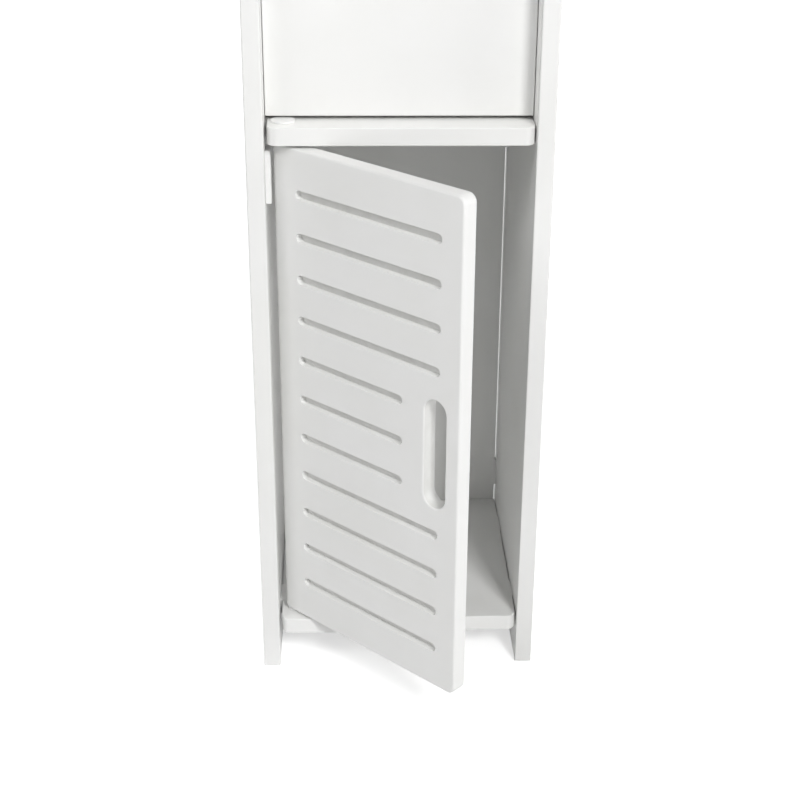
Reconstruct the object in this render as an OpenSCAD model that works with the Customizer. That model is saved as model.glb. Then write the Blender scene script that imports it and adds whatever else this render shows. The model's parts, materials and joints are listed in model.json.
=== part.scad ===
// Slim free-standing cabinet for toilet rolls: flat white boards joined by tabs,
// a pivoted door with routed grooves, a sliding drawer and an open bay on top.
// The front faces -Y. X = 0 is the cabinet's middle and Z = 0 is the floor.
// The origin lies under the middle of the box that the cabinet and its open door take up.

/* [Cabinet] */
// Overall width across the side panels
cabinet_w = 200; // [180:1:260]
// Depth of the side panels
cabinet_d = 200; // [185:1:260]
// Height of the side panels
cabinet_h = 700; // [680:5:820]
// Thickness of the side panels and the level boards
board_t = 12; // [10:0.5:15]
// Thickness of the back panel
back_t = 5; // [4:0.5:12]
// Rounding of the edges of the side panels and the door
edge_r = 1.5; // [0.8:0.1:2.5]
// Rounding of a shelf's front edge, above and below
shelf_edge_r = 0.6; // [0.4:0.1:2.5]
// Rounding of a shelf's front corners, seen from above
shelf_corner_r = 7; // [5:0.5:12]
// Setback of the shelf fronts behind the side panels
shelf_setback = 1; // [0:0.5:4]
// Distance from the back panel's rear face to the rear edge of the side panels
back_inset = 13; // [0:1:15]

/* [Levels] */
// Height of the bottom board's underside above the floor
foot_h = 28; // [20:1:50]
// Clear height of the bay behind the door
door_bay_h = 359; // [320:1:380]
// Clear height of the bay that holds the drawer
drawer_bay_h = 115; // [100:1:125]
// Drop from the top of the side panels to the top board
gallery_h = 12; // [0:1:20]

/* [Tab joints] */
// Gap between a level board's left end and the side panel, beside the tabs
shoulder_gap_left = 1.8; // [0.4:0.1:2.5]
// The same gap at the board's right end
shoulder_gap_right = 0.6; // [0.4:0.1:2.5]
// Gap between each long edge of the back panel and the side panel, beside the tabs
back_gap = 1.2; // [0.4:0.1:2.5]
// Width of a shelf tab along the depth
tab_w = 22.5; // [15:0.5:30]
// Distance from a shelf's front edge to the centre of its front tab
tab_front = 38.5; // [26:0.5:60]
// Distance between the centres of a shelf's two tabs
tab_spread = 101; // [70:1:115]
// Height of a tab on the back panel
back_tab_h = 23; // [18:1:40]
// Height of the lowest and of the highest back tab from the back panel's ends
back_tab_end = 37.5; // [25:0.5:60]
// Open space above a back tab in its mortise
back_tab_headroom = 3.5; // [0.2:0.1:6]
// Depth of the mortises in the side panels
mortise_d = 5; // [4:0.25:6]
// Clearance round a tab in its mortise
tab_fit = 0.15; // [0.05:0.05:0.3]

/* [Assembly screws] */
// Radius of the screw shank
screw_r = 2; // [1.5:0.25:2.5]
// Length of the screw shank
screw_l = 22; // [18:1:45]
// Radius of the screw head
screw_head_r = 3.8; // [3.2:0.1:5]
// Thickness of the screw head
screw_head_h = 1.6; // [1:0.1:2]
// Thickness of the flush cap over a screw
screw_cap_h = 1; // [0.6:0.1:1.4]
// Clearance of the screws in their holes
screw_fit = 0.1; // [0.05:0.05:0.2]

/* [Door] */
// Door thickness
door_t = 12; // [10:0.5:15]
// Gap between the closed door's hinge edge and the side panel
door_gap_hinge = 5; // [4:0.25:7]
// Gap between the closed door's free edge and the side panel
door_gap_free = 2.5; // [1.5:0.25:5]
// Gap between the door and the shelf above it
door_gap_top = 2; // [1:0.25:4]
// Gap between the door and the bottom board
door_gap_bottom = 2; // [1:0.25:4]
// Rounding of the door's corners in the front view
door_corner_r = 6; // [4:0.5:10]
// Distance from the door's hinge edge to its pivot
pivot_edge = 7; // [6.5:0.25:8]
// Distance from the shelf fronts to the door's pivot
pivot_setback = 17; // [14:0.5:20]
// How far the door stands open at rest
door_open = 45; // [0:1:60]

/* [Door grooves and handle] */
// Number of grooves
groove_count = 11; // [5:2:11]
// Distance between grooves
groove_pitch = 29.4; // [25:0.2:31]
// Width of a groove
groove_w = 6.5; // [4:0.25:9]
// Depth of a groove
groove_d = 4.5; // [2:0.25:6]
// Distance from the hinge edge to the grooves
groove_start = 23.5; // [15:0.5:35]
// Distance from the free edge to the long grooves
groove_end = 17.2; // [10:0.1:30]
// Space between the short grooves and the handle slot
groove_handle_gap = 19; // [10:0.5:30]
// Width of the handle slot
handle_w = 19; // [15:0.5:26]
// Height of the handle slot
handle_h = 78; // [60:1:95]
// Distance from the free edge to the handle slot
handle_edge = 11.3; // [9:0.1:25]

/* [Door pivots] */
// Radius of the pivot pins
pin_r = 3; // [2:0.25:3.5]
// Radial clearance of the pins in the door and the boards
pin_fit = 0.05; // [0.02:0.01:0.1]
// How far a pin reaches into the door
pin_reach = 15; // [8:0.5:25]
// Radius of a pin's flat head
pin_head_r = 8; // [6:0.25:9]
// Thickness of a pin's flat head
pin_head_h = 1.2; // [0.8:0.1:1.6]
// Radius of the washer that carries the door
washer_r = 5.5; // [4.5:0.25:6]
// Play above the washer
washer_play = 0.2; // [0.1:0.05:0.4]

/* [Hinge pad] */
// Height of the pad in the hinge gap under the middle shelf
pad_h = 36; // [25:1:60]
// Distance from the middle shelf down to the pad
pad_drop = 6; // [0:1:20]
// Depth of the pad
pad_d = 14; // [10:0.5:20]
// How far the pad reaches in front of the door's pivot
pad_reach = 6; // [3:0.5:6]
// Play between the pad and the door's hinge edge
pad_play = 1.5; // [1.3:0.1:2.5]
// Rounding of the pad's upright edges
pad_edge_r = 1; // [0.5:0.1:1.2]
// Radius of the pad's pegs
pad_peg_r = 2; // [1.5:0.25:3]
// How far a peg goes into the side panel
pad_peg_l = 5; // [3:0.5:8]
// Distance from the pad's ends to the centres of its pegs
pad_peg_end = 10; // [5:0.5:12]

/* [Magnetic catch] */
// Width of the catch body
catch_w = 30; // [26:1:40]
// Depth of the catch body
catch_d = 14; // [12:0.5:20]
// Height of the catch body
catch_h = 7; // [6.5:0.25:8.5]
// Width of the magnet
magnet_w = 13; // [10:0.5:14]
// Depth of the magnet
magnet_d = 4; // [3:0.25:6]
// Height of the magnet
magnet_h = 4; // [3:0.25:4.5]
// Distance from the door's free edge to the strike plate
strike_edge = 14; // [12:0.5:24]
// Width of the strike plate
strike_w = 25; // [18:0.5:30]
// Height of the strike plate
strike_h = 18; // [16:0.5:24]
// Thickness of the strike plate
strike_t = 0.8; // [0.5:0.1:1.2]
// Gap between the strike plate and the magnet with the door closed
strike_gap = 0.3; // [0.2:0.05:0.6]
// Radius of the small screws of the catch and the strike plate
small_screw_r = 1.5; // [1.25:0.25:1.75]
// Length of the small screws' shanks
small_screw_l = 7; // [5:0.5:9]
// Radius of the small screws' heads
small_head_r = 2.8; // [2.4:0.1:3.2]
// Thickness of the small screws' heads
small_head_h = 1.2; // [0.8:0.1:1.6]

/* [Drawer] */
// Gap between the drawer front and each side panel
drawer_gap = 0.4; // [0.3:0.1:3]
// Distance from the side panels' front to the drawer front
drawer_setback = 21; // [18:0.5:26]
// Gap under the drawer front
drawer_lift = 2.6; // [2:0.1:4]
// Gap above the drawer front
drawer_headroom = 2.4; // [1.5:0.1:6]
// Clear space behind the drawer
drawer_rear_gap = 5; // [3:0.5:15]
// Rounding of the drawer front's upright edges
drawer_corner_r = 0.8; // [0.4:0.1:8]
// Thickness of the drawer front
drawer_front_t = 12; // [10:0.5:15]
// Thickness of the drawer's sides and back
drawer_wall = 8; // [6:0.5:10]
// Thickness of the drawer's bottom
drawer_bottom_t = 5; // [4:0.5:8]
// Height of the drawer's sides above its bottom
drawer_side_h = 82; // [60:1:85]
// Inset of the drawer's sides behind the ends of the drawer front
drawer_side_inset = 4; // [1:0.5:6]
// Width of the finger notch in the drawer front
notch_w = 60; // [40:1:90]
// Depth of the finger notch in the drawer front
notch_d = 16; // [10:0.5:22]
// Width of a glide strip under the drawer
glide_w = 12; // [8:0.5:20]
// Distance between the centres of the glide strips
glide_spread = 100; // [80:1:110]
// Running play between the glide strips and the shelf
glide_play = 0.3; // [0.2:0.05:0.5]
// Radius of the dowels between the drawer front and the drawer's sides
dowel_r = 2; // [1.5:0.25:2.5]
// Length of the dowels
dowel_l = 18; // [12:1:24]
// How far a dowel enters the drawer front
dowel_set = 7; // [4:0.5:9]
// Length of the screws in the drawer's back and bottom
drawer_screw_l = 16; // [12:1:25]

/* [Hidden] */
$fn = 64;

// Clear width between the side panels, and the back panel's front face
inner_w = cabinet_w - 2 * board_t;
back_face_y = cabinet_d - back_inset - back_t;
back_top_z = cabinet_h - gallery_h;
back_w = inner_w - 2 * back_gap;

// A level board's left end, and its width between the shoulders
board_x = -inner_w / 2 + shoulder_gap_left;
board_w = inner_w - shoulder_gap_left - shoulder_gap_right;

// Undersides of the four level boards, from the floor up
bottom_z = foot_h;
middle_z = bottom_z + board_t + door_bay_h;
upper_z = middle_z + board_t + drawer_bay_h;
top_z = back_top_z - board_t;
level_zs = [bottom_z, middle_z, upper_z, top_z];

// The tabs: two on each end of a level board, three on each edge of the back panel, all
// standing on the floors of their mortises
tab_ys = [shelf_setback + tab_front, shelf_setback + tab_front + tab_spread];
tab_end_x = inner_w / 2 + mortise_d;
back_tab_zs = [bottom_z + back_tab_end, (bottom_z + back_top_z) / 2, back_top_z - back_tab_end];

// A screw's counterbore, with the screw's head on its floor and the cap over the head
counterbore_r = screw_head_r + screw_fit;
counterbore_d = screw_head_h + screw_cap_h;

// The door: its pivot in the cabinet, its size, and its own frame, whose zero is the
// hinge edge's front lower corner with the door closed
pivot_x = -inner_w / 2 + door_gap_hinge + pivot_edge;
pivot_y = shelf_setback + pivot_setback;
door_z = bottom_z + board_t + door_gap_bottom;
door_w = inner_w - door_gap_hinge - door_gap_free;
door_h = door_bay_h - door_gap_bottom - door_gap_top;
hinge_edge_r = door_t / 2;
handle_x = door_w - handle_edge - handle_w / 2;
long_groove_end = door_w - groove_end;
short_groove_end = door_w - handle_edge - handle_w - groove_handle_gap;

// The pad between the left side panel and the door's hinge edge
pad_t = door_gap_hinge - pad_play;
pad_y = pivot_y - pad_reach;
pad_z = middle_z - pad_drop - pad_h;

// The catch under the middle shelf, and the strike plate on the door's rear face
strike_x = door_w - strike_edge - strike_w / 2;
strike_z = door_h - edge_r - strike_h;
catch_x = pivot_x - pivot_edge + strike_x;
catch_y = pivot_y + door_t / 2 + strike_t + strike_gap;
catch_z = middle_z - catch_h;
magnet_z = catch_z + 1;
catch_screw_x = catch_w / 2 - small_head_r - 1;
catch_screw_y = catch_y + (catch_d + magnet_d) / 2;
strike_screw_x = strike_w / 2 - small_head_r - 1.5;
strike_screw_z = strike_z + small_head_r + 1.5;

// The drawer's front, and the box behind it
drawer_w = inner_w - 2 * drawer_gap;
drawer_z = middle_z + board_t + drawer_lift;
drawer_h = drawer_bay_h - drawer_lift - drawer_headroom;
box_w = drawer_w - 2 * drawer_side_inset;
box_y = drawer_setback + drawer_front_t;
box_l = back_face_y - drawer_rear_gap - box_y;
box_z = drawer_z + drawer_bottom_t;
box_back_y = box_y + box_l - drawer_wall;
side_x = box_w / 2 - drawer_wall / 2;
joint_zs = [box_z + drawer_side_h / 4, box_z + drawer_side_h * 3 / 4];
bottom_screw_ys = [box_y + box_l / 6, box_y + box_l / 2, box_y + box_l * 5 / 6];
glide_h = drawer_lift - glide_play;
glide_l = box_l - 16;

// The open door's foremost point, and the middle of the whole object's depth
door_reach = door_w - pivot_edge - edge_r;
door_front_y = pivot_y - door_reach * sin(door_open) - (door_t / 2 - edge_r) * cos(door_open) - edge_r;
middle_y = (min(0, door_front_y) + cabinet_d) / 2;

white = "#f2f2f0";
pin_white = "#fafafa";
steel = "#b9bcc0";
magnet_grey = "#3c3c3e";
glide_grey = "#d6d6d2";
birch = "#d9c29a";

// Puts the cabinet's own frame, with the side panels' front at Y = 0, over the origin
module in_cabinet() {
    translate([0, -middle_y, 0]) children();
}

// Puts the door's own frame where the open door stands
module in_door() {
    in_cabinet()
        translate([pivot_x, pivot_y, door_z])
            rotate([0, 0, -door_open])
                translate([-pivot_edge, -door_t / 2, 0])
                    children();
}

// Outline of w by h with four rounded corners, from its lower left corner
module round_outline(w, h, r) {
    translate([r, 0]) square([w - 2 * r, h]);
    translate([0, r]) square([w, h - 2 * r]);
    for (x = [r, w - r], y = [r, h - r])
        translate([x, y]) circle(r = r);
}

// Outline of w by h whose two corners at x = 0 are rounded
module nosed_outline(w, h, r) {
    translate([r, 0]) square([w - r, h]);
    translate([0, r]) square([w, h - 2 * r]);
    for (y = [r, h - r])
        translate([r, y]) circle(r = r);
}

// Disc of radius r_out and thickness t, standing on z = 0, with a rounded rim
module rimmed_disc(r_out, t, r) {
    rotate_extrude()
        intersection() {
            translate([-r_out, 0]) round_outline(2 * r_out, t, r);
            square([r_out, t]);
        }
}

// Bar along +X with its rounded front at y = 0
module nosed_bar(length, depth, t, r) {
    rotate([90, 0, 90])
        linear_extrude(length)
            nosed_outline(depth, t, r);
}

// Slot with round ends from x0 to x1 at height z, cut along +Y
module slot_x(x0, x1, z, w, depth) {
    for (x = [x0 + w / 2, x1 - w / 2])
        translate([x, 0, z]) rotate([-90, 0, 0]) cylinder(r = w / 2, h = depth);
    translate([x0 + w / 2, 0, z - w / 2]) cube([x1 - x0 - w, depth, w]);
}

// Screw along +Z whose head's inner face lies at z = 0, with the head below it
module screw(r, l, head_r, head_h) {
    translate([0, 0, -head_h]) cylinder(r = head_r, h = head_h);
    translate([0, 0, -head_h]) cylinder(r = r, h = head_h + l);
}

// Hole for such a screw: the shank's hole, and the head's recess with a straight wall
module screw_hole(r, l, head_r, recess) {
    translate([0, 0, -recess]) cylinder(r = head_r + screw_fit, h = recess);
    translate([0, 0, -recess]) cylinder(r = r + screw_fit, h = recess + l + screw_fit);
}

// Places its children at the assembly screws of both side panels, pointing inwards, with
// z = 0 on the counterbore's floor
module at_assembly_screws() {
    for (side = [0, 1], z = level_zs, y = tab_ys)
        mirror([side, 0, 0])
            translate([-cabinet_w / 2 + counterbore_d, y, z + board_t / 2])
                rotate([0, 90, 0]) children();
}

module assembly_screw_hole() {
    screw_hole(screw_r, screw_l, screw_head_r, counterbore_d);
}

// Level board with its tabs, standing on z
module board_blank(z) {
    front_y = shelf_setback;
    r = shelf_corner_r;
    translate([board_x, front_y + r, z])
        cube([board_w, back_face_y - front_y - r, board_t]);
    translate([board_x + r, front_y, z])
        nosed_bar(board_w - 2 * r, 2 * r, board_t, shelf_edge_r);
    for (x = [board_x + r, board_x + board_w - r])
        translate([x, front_y + r, z])
            rimmed_disc(r, board_t, shelf_edge_r);
    for (y = tab_ys)
        translate([-tab_end_x, y - tab_w / 2, z])
            cube([2 * tab_end_x, tab_w, board_t]);
}

module level_board(z) {
    difference() {
        board_blank(z);
        at_assembly_screws() assembly_screw_hole();
    }
}

// Left side panel: a board with mortises for the tabs, and holes for the assembly screws
module side_panel() {
    mortise_x = -inner_w / 2 - mortise_d;
    difference() {
        translate([-cabinet_w / 2, 0, 0])
            linear_extrude(cabinet_h)
                round_outline(board_t, cabinet_d, edge_r);
        for (z = level_zs, y = tab_ys)
            translate([mortise_x, y - tab_w / 2 - tab_fit, z - tab_fit])
                cube([mortise_d + 1, tab_w + 2 * tab_fit, board_t + 2 * tab_fit]);
        for (z = back_tab_zs)
            translate([mortise_x, back_face_y - tab_fit, z - back_tab_h / 2 - tab_fit])
                cube([mortise_d + 1, back_t + 2 * tab_fit,
                      back_tab_h + tab_fit + back_tab_headroom]);
        at_assembly_screws() assembly_screw_hole();
    }
}

// The left side panel also takes the pegs of the hinge pad
module side_panel_left() {
    color(white) in_cabinet()
        difference() {
            side_panel();
            hinge_pad_pegs();
        }
}

module side_panel_right() {
    color(white) in_cabinet() mirror([1, 0, 0]) side_panel();
}

// Hole of a pivot pin through a level board
module pivot_hole(z) {
    translate([pivot_x, pivot_y, z - 1]) cylinder(r = pin_r, h = board_t + 2);
}

module bottom_board() {
    color(white) in_cabinet()
        difference() {
            level_board(bottom_z);
            pivot_hole(bottom_z);
        }
}

module middle_shelf() {
    color(white) in_cabinet()
        difference() {
            level_board(middle_z);
            pivot_hole(middle_z);
            at_catch_screws() catch_screw_hole();
        }
}

module upper_shelf() {
    color(white) in_cabinet() level_board(upper_z);
}

module top_board() {
    color(white) in_cabinet() level_board(top_z);
}

module back_panel() {
    color(white) in_cabinet() {
        translate([-back_w / 2, back_face_y, bottom_z])
            cube([back_w, back_t, back_top_z - bottom_z]);
        for (z = back_tab_zs)
            translate([-tab_end_x, back_face_y, z - back_tab_h / 2])
                cube([2 * tab_end_x, back_t, back_tab_h]);
    }
}

module assembly_screws() {
    color(steel) in_cabinet()
        at_assembly_screws() screw(screw_r, screw_l, screw_head_r, screw_head_h);
}

// Flush caps that close the counterbores
module screw_caps() {
    color(pin_white) in_cabinet()
        at_assembly_screws()
            translate([0, 0, -counterbore_d]) cylinder(r = counterbore_r, h = screw_cap_h);
}

// Pivot pin with its flat head standing on z = 0 and its shank pointing down
module pivot_pin(gap) {
    cylinder(r = pin_head_r, h = pin_head_h);
    translate([0, 0, -board_t - gap - pin_reach])
        cylinder(r = pin_r, h = board_t + gap + pin_reach + pin_head_h);
}

module pivot_pin_upper() {
    color(pin_white) in_cabinet()
        translate([pivot_x, pivot_y, middle_z + board_t])
            pivot_pin(door_gap_top);
}

module pivot_pin_lower() {
    color(pin_white) in_cabinet()
        translate([pivot_x, pivot_y, bottom_z])
            mirror([0, 0, 1]) pivot_pin(door_gap_bottom);
}

// Washer on the bottom board that carries the door
module pivot_washer() {
    color(pin_white) in_cabinet()
        translate([pivot_x, pivot_y, bottom_z + board_t])
            difference() {
                cylinder(r = washer_r, h = door_gap_bottom - washer_play);
                translate([0, 0, -1]) cylinder(r = pin_r + pin_fit, h = door_gap_bottom + 1);
            }
}

// Pegs that hold the hinge pad on the left side panel
module hinge_pad_pegs() {
    for (z = [pad_z + pad_peg_end, pad_z + pad_h - pad_peg_end])
        translate([-inner_w / 2 - pad_peg_l, pad_y + pad_d / 2, z])
            rotate([0, 90, 0]) cylinder(r = pad_peg_r, h = pad_peg_l + pad_t / 2);
}

// Pad in the hinge gap, under the middle shelf
module hinge_pad() {
    color(pin_white) in_cabinet() {
        translate([-inner_w / 2 + pad_t, pad_y, pad_z])
            mirror([1, 0, 0])
                linear_extrude(pad_h)
                    nosed_outline(pad_t, pad_d, pad_edge_r);
        hinge_pad_pegs();
    }
}

// Places its children at the catch's two screws, pointing up, with z = 0 at the recess floor
module at_catch_screws() {
    for (dx = [-catch_screw_x, catch_screw_x])
        translate([catch_x + dx, catch_screw_y, catch_z + small_head_h]) children();
}

module catch_screw_hole() {
    screw_hole(small_screw_r, catch_h - small_head_h + small_screw_l, small_head_r, small_head_h + 1);
}

module catch_magnet_block() {
    translate([catch_x - magnet_w / 2, catch_y, magnet_z])
        cube([magnet_w, magnet_d, magnet_h]);
}

// Catch body under the middle shelf, which also stops the closed door
module catch_body() {
    color(pin_white) in_cabinet()
        difference() {
            translate([catch_x - catch_w / 2, catch_y, catch_z]) cube([catch_w, catch_d, catch_h]);
            catch_magnet_block();
            at_catch_screws() catch_screw_hole();
        }
}

module catch_magnet() {
    color(magnet_grey) in_cabinet() catch_magnet_block();
}

module catch_screws() {
    color(steel) in_cabinet()
        at_catch_screws()
            screw(small_screw_r, catch_h - small_head_h + small_screw_l, small_head_r, small_head_h);
}

// Door leaf without its cuts, in the door's own frame: a round hinge edge, a free edge
// with rounded corners, and rounded arrises along the top and the bottom
module door_blank() {
    r = door_corner_r;
    translate([hinge_edge_r, door_t / 2, hinge_edge_r]) {
        cylinder(r = hinge_edge_r, h = door_h - 2 * hinge_edge_r);
        sphere(r = hinge_edge_r);
        translate([0, 0, door_h - 2 * hinge_edge_r]) sphere(r = hinge_edge_r);
    }
    translate([hinge_edge_r, 0, 0])
        rotate([90, 0, 90])
            linear_extrude(door_w - r - hinge_edge_r)
                round_outline(door_t, door_h, edge_r);
    for (z = [r, door_h - r])
        translate([door_w - r, door_t, z])
            rotate([90, 0, 0]) rimmed_disc(r, door_t, edge_r);
    translate([door_w, 0, r])
        mirror([1, 0, 0])
            linear_extrude(door_h - 2 * r)
                nosed_outline(2 * r, door_t, edge_r);
}

// The grooves in the door's front face, shorter beside the handle
module grooves() {
    middle = (groove_count - 1) / 2;
    for (i = [0 : groove_count - 1]) {
        dz = (i - middle) * groove_pitch;
        beside_handle = abs(dz) < handle_h / 2 + groove_w;
        translate([0, -1, 0])
            slot_x(groove_start, beside_handle ? short_groove_end : long_groove_end,
                   door_h / 2 + dz, groove_w, groove_d + 1);
    }
}

// The handle is an upright slot with round ends through the door
module handle_slot() {
    reach = handle_h / 2 - handle_w / 2;
    for (z = [door_h / 2 - reach, door_h / 2 + reach])
        translate([handle_x, -1, z]) rotate([-90, 0, 0]) cylinder(r = handle_w / 2, h = door_t + 2);
    translate([handle_x - handle_w / 2, -1, door_h / 2 - reach])
        cube([handle_w, door_t + 2, 2 * reach]);
}

// Places its children at the strike plate's two screws, pointing into the door's rear
// face, with z = 0 on the plate's outer face
module at_strike_screws() {
    for (dx = [-strike_screw_x, strike_screw_x])
        translate([strike_x + dx, door_t + strike_t, strike_screw_z]) rotate([90, 0, 0]) children();
}

module strike_screw_hole() {
    screw_hole(small_screw_r, strike_t + small_screw_l, small_screw_r, 1);
}

module door_panel() {
    color(white) in_door()
        difference() {
            door_blank();
            grooves();
            handle_slot();
            for (z = [-1, door_h - pin_reach - 1])
                translate([pivot_edge, door_t / 2, z])
                    cylinder(r = pin_r + pin_fit, h = pin_reach + 2);
            at_strike_screws() strike_screw_hole();
        }
}

module strike_plate() {
    color(steel) in_door()
        difference() {
            translate([strike_x - strike_w / 2, door_t, strike_z]) cube([strike_w, strike_t, strike_h]);
            at_strike_screws() strike_screw_hole();
        }
}

module strike_screws() {
    color(steel) in_door()
        at_strike_screws() screw(small_screw_r, strike_t + small_screw_l, small_head_r, small_head_h);
}

// Drawer front with rounded upright edges and a finger notch in its top edge
module drawer_front() {
    notch_r = notch_d;
    color(white) in_cabinet()
        difference() {
            translate([-drawer_w / 2, drawer_setback, drawer_z])
                linear_extrude(drawer_h)
                    drawer_front_outline();
            translate([0, drawer_setback - 1, drawer_z + drawer_h])
                for (x = [-notch_w / 2 + notch_r, notch_w / 2 - notch_r])
                    translate([x, 0, 0])
                        rotate([-90, 0, 0]) cylinder(r = notch_r, h = drawer_front_t + 2);
            translate([-notch_w / 2 + notch_r, drawer_setback - 1, drawer_z + drawer_h - notch_d])
                cube([notch_w - 2 * notch_r, drawer_front_t + 2, notch_d + 1]);
            drawer_dowel_pegs();
        }
}

// The drawer front seen from above, with its front face at y = 0
module drawer_front_outline() {
    r = drawer_corner_r;
    translate([r, 0]) square([drawer_w - 2 * r, drawer_front_t]);
    translate([0, r]) square([drawer_w, drawer_front_t - r]);
    for (x = [r, drawer_w - r])
        translate([x, r]) circle(r = r);
}

// Dowels between the drawer front and the front ends of the drawer's sides
module drawer_dowel_pegs() {
    for (x = [-side_x, side_x], z = joint_zs)
        translate([x, box_y - dowel_set, z])
            rotate([-90, 0, 0]) cylinder(r = dowel_r, h = dowel_l);
}

// Places its children at the drawer's screws, with z = 0 on the recess floors: through
// the sides into the back, and through the bottom into the sides
module at_drawer_screws() {
    for (side = [0, 1], z = joint_zs)
        mirror([side, 0, 0])
            translate([-box_w / 2 + small_head_h, box_back_y + drawer_wall / 2, z])
                rotate([0, 90, 0]) children();
    for (x = [-side_x, side_x], y = bottom_screw_ys)
        translate([x, y, drawer_z + small_head_h]) children();
}

module drawer_screw_hole() {
    screw_hole(small_screw_r, drawer_screw_l, small_head_r, small_head_h + 1);
}

// Left drawer side, standing on the drawer's bottom
module drawer_side() {
    difference() {
        translate([-box_w / 2, box_y, box_z]) cube([drawer_wall, box_l, drawer_side_h]);
        drawer_dowel_pegs();
        at_drawer_screws() drawer_screw_hole();
    }
}

module drawer_side_left() {
    color(white) in_cabinet() drawer_side();
}

module drawer_side_right() {
    color(white) in_cabinet() mirror([1, 0, 0]) drawer_side();
}

module drawer_back() {
    color(white) in_cabinet()
        difference() {
            translate([-box_w / 2 + drawer_wall, box_back_y, box_z])
                cube([box_w - 2 * drawer_wall, drawer_wall, drawer_side_h]);
            at_drawer_screws() drawer_screw_hole();
        }
}

module drawer_bottom() {
    color(white) in_cabinet()
        difference() {
            translate([-box_w / 2, box_y, drawer_z]) cube([box_w, box_l, drawer_bottom_t]);
            at_drawer_screws() drawer_screw_hole();
        }
}

module drawer_dowels() {
    color(birch) in_cabinet() drawer_dowel_pegs();
}

module drawer_screws() {
    color(steel) in_cabinet()
        at_drawer_screws() screw(small_screw_r, drawer_screw_l, small_head_r, small_head_h);
}

// Glide strips that carry the drawer over the flat head of the upper pivot pin
module drawer_glides() {
    color(glide_grey) in_cabinet()
        for (x = [-glide_spread / 2, glide_spread / 2])
            translate([x - glide_w / 2, box_y + (box_l - glide_l) / 2, drawer_z - glide_h])
                cube([glide_w, glide_l, glide_h]);
}

side_panel_left();
side_panel_right();
bottom_board();
middle_shelf();
upper_shelf();
top_board();
back_panel();
assembly_screws();
screw_caps();
pivot_pin_upper();
pivot_pin_lower();
pivot_washer();
hinge_pad();
catch_body();
catch_magnet();
catch_screws();
door_panel();
strike_plate();
strike_screws();
drawer_front();
drawer_side_left();
drawer_side_right();
drawer_back();
drawer_bottom();
drawer_dowels();
drawer_screws();
drawer_glides();
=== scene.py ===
"""Dresses the toilet roll storage cabinet: lacquered boards, a routed door, a drawer and their fittings.

Sizes are in millimetres and become metres where a mesh is made. The front faces -Y, and every
mesh is built where its piece stands, with the door open as it rests.
"""

import json
import logging
import math
from collections.abc import Iterable, Mapping, Sequence
from dataclasses import dataclass, field
from enum import Enum
from functools import cache
from typing import Any

import bmesh
import bpy
from mathutils import Matrix, Vector
from mathutils.geometry import tessellate_polygon


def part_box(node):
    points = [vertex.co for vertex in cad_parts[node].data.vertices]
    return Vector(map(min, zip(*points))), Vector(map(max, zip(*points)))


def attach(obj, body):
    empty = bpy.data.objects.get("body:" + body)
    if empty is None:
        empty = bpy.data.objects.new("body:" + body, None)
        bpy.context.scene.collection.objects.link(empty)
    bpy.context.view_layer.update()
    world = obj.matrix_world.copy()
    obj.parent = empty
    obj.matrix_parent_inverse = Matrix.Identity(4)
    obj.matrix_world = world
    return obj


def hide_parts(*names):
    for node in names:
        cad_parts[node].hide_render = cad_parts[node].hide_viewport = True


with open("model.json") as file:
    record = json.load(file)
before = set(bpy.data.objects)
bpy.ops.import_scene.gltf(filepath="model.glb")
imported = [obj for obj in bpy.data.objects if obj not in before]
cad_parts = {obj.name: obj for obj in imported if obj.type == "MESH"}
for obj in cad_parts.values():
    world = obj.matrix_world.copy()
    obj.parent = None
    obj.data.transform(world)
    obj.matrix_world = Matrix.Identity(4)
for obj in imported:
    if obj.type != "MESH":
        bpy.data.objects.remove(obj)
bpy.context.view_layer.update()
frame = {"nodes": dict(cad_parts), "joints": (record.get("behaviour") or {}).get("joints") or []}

MM = 0.001
LOG = logging.getLogger("cabinet")
# Edges sharper than this stay sharp, flat faces get this weight, and a lip or a fillet has this many steps.
CREASE = math.radians(38.0)
FLAT_WEIGHT = 60
LIP_STEPS = 3
# The screws' heads, and the holes that take a head and a shank.
HEAD_RADIUS = 2.8
HEAD_HEIGHT = 1.2
PIT_RADIUS = 2.9
SCREW_BORE = 1.6
RIGHT, BACK = Vector((1, 0, 0)), Vector((0, 1, 0))
UP, DOWN = Vector((0, 0, 1)), Vector((0, 0, -1))

Point = tuple[float, float]
Seat = tuple[Vector, Vector]
Tree = bpy.types.NodeTree
Socket = bpy.types.NodeSocket
Material = bpy.types.Material
Piece = bpy.types.Object
Row = Sequence[bmesh.types.BMVert]


# ---- colours and nodes


def linear(hex_colour: str) -> tuple[float, ...]:
    """Turns an sRGB colour such as "#ECECEA" to the linear red, green, blue and alpha that a shader reads."""
    shares = (int(hex_colour[i : i + 2], 16) / 255 for i in (1, 3, 5))
    return *(s / 12.92 if s <= 0.04045 else ((s + 0.055) / 1.055) ** 2.4 for s in shares), 1.0


def add_node(
    tree: Tree,
    kind: str,
    settings: Mapping[str, Any] | None = None,
    inputs: Mapping[str | int, Any] | None = None,
) -> bpy.types.Node:
    """Adds one node with its settings, values and links.

    Args:
        tree: The node tree that the node joins.
        kind: The node's type, such as "ShaderNodeTexNoise".
        settings: Values for the node's own options.
        inputs: For each input, a value or the socket that feeds it.

    Returns:
        The new node.
    """
    node = tree.nodes.new(kind)
    for name, value in (settings or {}).items():
        setattr(node, name, value)
    for name, value in (inputs or {}).items():
        if isinstance(value, Socket):
            tree.links.new(value, node.inputs[name])
        else:
            node.inputs[name].default_value = value
    return node


def maths(tree: Tree, operation: str, first: Any, second: Any) -> Socket:
    """Adds a maths node on two numbers or sockets and returns its result."""
    return add_node(tree, "ShaderNodeMath", {"operation": operation}, {0: first, 1: second}).outputs[0]


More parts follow.
